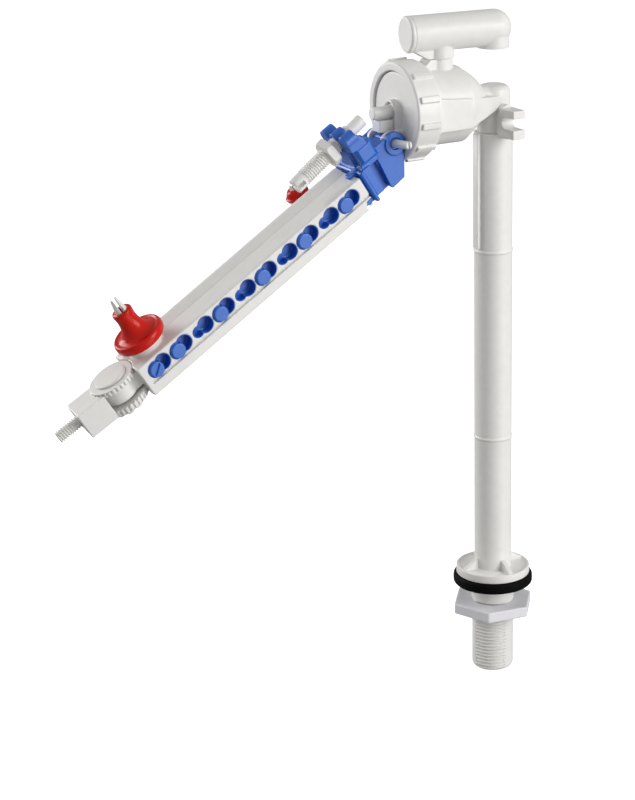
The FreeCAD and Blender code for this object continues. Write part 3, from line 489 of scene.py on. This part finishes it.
washer = [(COLLAR_R, 0.0), (19.3, 0.0), (19.9, 0.8), (20.0, 2.6), (19.85, 4.3), (19.2, 5.3),
          (COLLAR_R, 5.3)]
piece("cistern_washer", lathe(rounded(washer, 0.8), 128), WORLD, sharp=50)
moulded_piece("backnut", WORLD, 0.24)

# ------------------------------------------------------------------ valve head
moulded_piece("valve_body", WORLD, 0.34)
moulded_piece("front_cover", WORLD, 0.28)
moulded_piece("union_nut", WORLD, 0.26)
moulded_piece("plunger", WORLD, 0.16)
moulded_piece("pivot_pin", WORLD, 0.14)
moulded_piece("hose_clip", WORLD, 0.2)
moulded_piece("outlet_arm", OUTLET, 0.28, 4)
moulded_piece("outlet_end_cap", OUTLET, 0.2)

# ------------------------------------------------------------------ lever
moulded_piece("lever_bracket", ARM, 0.24)
moulded_piece("arm_sleeve", ARM, 0.28)
moulded_piece("lever_bar", ARM, 0.2)

# The adjusting screw's local Z runs along the screw from the lock nut's middle.
SCREW_PITCH, SCREW_CREST, SCREW_ROOT = 1.25, 4.0, 3.3
ROD_LENGTH, ROD_R = 7.7, 3.1
TIP_LENGTH, TIP_R = 6.2, 3.75
SLOT_DEPTH, SLOT_HALF, SLOT_REACH = 4.6, 1.1, 6
screw_heights = [(SCREW.inverted() @ v.co).z for v in NODES["adjusting_screw"].data.vertices]
rod_end, tip_end = min(screw_heights), max(screw_heights)
tip_start, slot_floor = tip_end - TIP_LENGTH, tip_end - SLOT_DEPTH
thread = threaded_rod(SCREW_CREST, SCREW_ROOT, SCREW_PITCH, rod_end + ROD_LENGTH,
                      tip_start + SHELL_LAP)
tip = lathe(rounded([(0, tip_start), (TIP_R, tip_start), (TIP_R, tip_end), (0, tip_end)],
                    0.5), 48)
slot_tool = slab([(-SLOT_REACH, slot_floor), (SLOT_REACH, slot_floor),
                  (SLOT_REACH, tip_end + 3), (-SLOT_REACH, tip_end + 3)],
                 -SLOT_HALF, SLOT_HALF, 0.1)
rod = lathe(rounded([(0, rod_end), (ROD_R, rod_end), (ROD_R, rod_end + ROD_LENGTH + 1),
                     (0, rod_end + ROD_LENGTH + 1)], 0.4), 48)
piece("adjusting_screw", merged(cut(tip, slot_tool), thread, rod), SCREW, sharp=50)
moulded_piece("lock_nut", SCREW, 0.14)

# ------------------------------------------------------------------ lock pegs
LOWER_PEG_AT = Vector((147.6, 0, 0))
UPPER_PEG_AT = Vector((43.6, -19.1, -2.0))
LOWER_BORE, UPPER_BORE = 3.05, 2.25
bell_side = curved([(11.5, 3.5), (12.1, 4.3), (12.35, 5.6), (12.3, 6.8), (11.95, 7.7),
                    (11.4, 8.1), (10.8, 8.05), (10.0, 7.85), (9.1, 8.0), (7.4, 9.1),
                    (5.9, 11.1), (4.95, 13.8), (4.65, 16.6), (4.85, 19.2), (4.9, 20.3),
                    (4.5, 21.0)])
bell = lathe([(LOWER_BORE, 3.4), (11.4, 3.4), *bell_side, (LOWER_BORE, 21.0)])
piece("lower_bell", turned(bell, Matrix.Translation(LOWER_PEG_AT)), ARM, sharp=60)
small_side = curved([(5.7, -0.6), (5.95, -0.1), (5.85, 0.5), (5.2, 1.0), (4.7, 2.0),
                     (3.9, 3.2), (2.9, 3.8)])
small_bell = lathe([(UPPER_BORE, -0.6), *small_side, (UPPER_BORE, 3.8)], 64)
piece("upper_bell", turned(small_bell, Matrix.Translation(UPPER_PEG_AT)), ARM, sharp=60)
moulded_piece("lower_peg", ARM, 0.16)
moulded_piece("upper_peg", ARM, 0.16)

# ------------------------------------------------------------------ knuckle and float block
# The block is cut just past its end face, and the stud that grows from it is built anew.
BLOCK_END, CUT_CLEARANCE = 22.9, 0.03
STUD_HEIGHT, STUD_START, STUD_END = -8.3, 22.1, 35.0
STUD_CREST, STUD_ROOT, STUD_PITCH = 3.05, 2.4, 1.25
block = trimmed(cad_mesh("float_block", KNUCKLE), (BLOCK_END + CUT_CLEARANCE, 0, 0), (1, 0, 0))
stud = threaded_rod(STUD_CREST, STUD_ROOT, STUD_PITCH, STUD_START, STUD_END, segments=48)
along_x = Matrix.Translation((0, 0, STUD_HEIGHT)) @ Matrix.Rotation(math.pi / 2, 4, "Y")
piece("float_block", merged(moulded(block, 0.2, 2), turned(stud, along_x)), KNUCKLE)
moulded_piece("knuckle_bolt", KNUCKLE, 0.2)

# ------------------------------------------------------------------ floor, light
FLOOR_HALF = 8.0
FLOOR_GAP = 0.0005
SKY_BELOW, SKY_ABOVE = 0.24, 0.46

low, high = CAD_BOX
floor_mesh = bpy.data.meshes.new("floor")
floor_mesh.from_pydata([(-FLOOR_HALF, -FLOOR_HALF, 0), (FLOOR_HALF, -FLOOR_HALF, 0),
                        (FLOOR_HALF, FLOOR_HALF, 0), (-FLOOR_HALF, FLOOR_HALF, 0)], [],
                       [(0, 1, 2, 3)])
floor = bpy.data.objects.new("floor", floor_mesh)
floor.location.z = low.z - FLOOR_GAP
bpy.context.scene.collection.objects.link(floor)
floor.visible_diffuse = False
floor.visible_glossy = False
floor.visible_shadow = False
floor_look, _, floor_shader = shader("floor", 0.9)
floor_shader.inputs["Base Color"].default_value = (0.9, 0.9, 0.9, 1.0)
floor_shader.inputs["Emission Color"].default_value = (1.0, 1.0, 1.0, 1.0)
floor_shader.inputs["Emission Strength"].default_value = 0.7
floor_mesh.materials.append(floor_look)

# The sky is white to the camera and a soft gradient to everything that it lights.
world = bpy.data.worlds.new("studio")
world.use_nodes = True
tree = world.node_tree
backdrop = tree.nodes["Background"]
backdrop.inputs["Color"].default_value = (1.0, 1.0, 1.0, 1.0)
backdrop.inputs["Strength"].default_value = 1.0
fill = tree.nodes.new("ShaderNodeBackground")
fill.inputs["Strength"].default_value = 1.0
sky_place = tree.nodes.new("ShaderNodeTexCoord")
sky_split = tree.nodes.new("ShaderNodeSeparateXYZ")
tree.links.new(sky_place.outputs["Generated"], sky_split.inputs[0])
sky_level = tree.nodes.new("ShaderNodeMapRange")
sky_level.inputs["From Min"].default_value = -1.0
sky_level.inputs["From Max"].default_value = 1.0
sky_level.inputs["To Min"].default_value = SKY_BELOW
sky_level.inputs["To Max"].default_value = SKY_ABOVE
tree.links.new(sky_split.outputs["Z"], sky_level.inputs["Value"])
tree.links.new(sky_level.outputs["Result"], fill.inputs["Color"])
path = tree.nodes.new("ShaderNodeLightPath")
mix = tree.nodes.new("ShaderNodeMixShader")
tree.links.new(path.outputs["Is Camera Ray"], mix.inputs["Fac"])
tree.links.new(fill.outputs[0], mix.inputs[1])
tree.links.new(backdrop.outputs[0], mix.inputs[2])
tree.links.new(mix.outputs[0], tree.nodes["World Output"].inputs["Surface"])
bpy.context.scene.world = world
bpy.context.scene.view_settings.view_transform = "Standard"

AIM = (low + high) / 2


def softbox(name, place, size, power):
    """Square area light, placed from the object's middle in metres and aimed at it."""
    data = bpy.data.lights.new(name, "AREA")
    data.shape = "SQUARE"
    data.size = size
    data.energy = power
    light = bpy.data.objects.new(name, data)
    light.location = AIM + Vector(place)
    light.rotation_mode = "QUATERNION"
    light.rotation_quaternion = (-Vector(place)).to_track_quat("-Z", "Y")
    bpy.context.scene.collection.objects.link(light)


softbox("key", (0.66, -1.1, 0.5), 0.8, 12.0)
softbox("front", (0.5, -0.95, -0.33), 0.75, 2.6)
softbox("rim", (-0.75, 1.05, 0.35), 0.8, 13.0)
